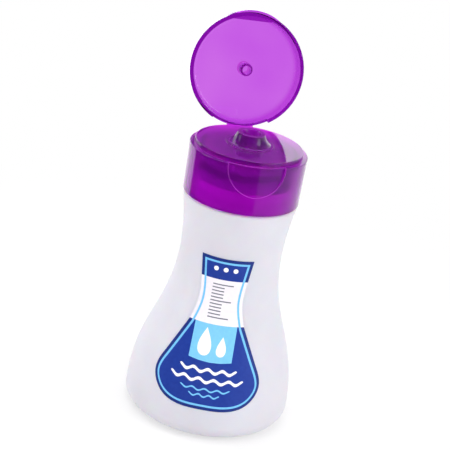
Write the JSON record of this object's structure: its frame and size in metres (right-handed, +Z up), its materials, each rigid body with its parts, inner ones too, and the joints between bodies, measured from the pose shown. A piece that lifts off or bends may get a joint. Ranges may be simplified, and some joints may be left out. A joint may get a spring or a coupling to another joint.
{
  "type": "travel bottle",
  "caption": "Soft squeezable travel bottle with a flask-shaped body, a screw cap and a hinged flip-top lid that plugs its spout.",
  "frame": {"origin": "centre of the flat base, on the surface the bottle stands on", "axes": "+Z up through the spout, -Y to the front where the thumb scoop is, +X to the right seen from the front; the lid's hinge is at +Y"},
  "size_m": [0.056, 0.0606, 0.1335],
  "materials": {
    "frosted_silicone": "frosted translucent soft silicone",
    "collar_plastic": "natural polypropylene",
    "gasket_rubber": "soft elastomer",
    "cap_plastic": "glossy translucent tinted polypropylene",
    "label_film": "printed adhesive film"
  },
  "bodies": {
    "bottle": {"bottle_body": "frosted_silicone", "neck_ring": "collar_plastic", "front_label": "label_film"},
    "seal": {"gasket": "gasket_rubber"},
    "cap": {"cap_base": "cap_plastic", "living_hinge": "cap_plastic"},
    "lid": {"lid": "cap_plastic"}
  },
  "joints": [
    {"name": "cap_lift", "type": "slide", "parent": "bottle", "child": "seal", "axis": [0, 0, 1], "range_m": [0, 0.006]},
    {"name": "cap_turn", "type": "hinge", "parent": "seal", "child": "cap", "pos_m": [0, 0, 0.08625], "axis": [0, 0, 1], "range_deg": [0, 540]},
    {"name": "lid_hinge", "type": "hinge", "parent": "cap", "child": "lid", "pos_m": [0, 0.0195, 0.0944], "axis": [1, 0, 0], "range_deg": [-80, 99.5], "deforming": ["living_hinge"]}
  ],
  "couplings": [
    {"joint": "cap_lift", "follows": "cap_turn", "m_per_rad": 0.00063662}
  ]
}
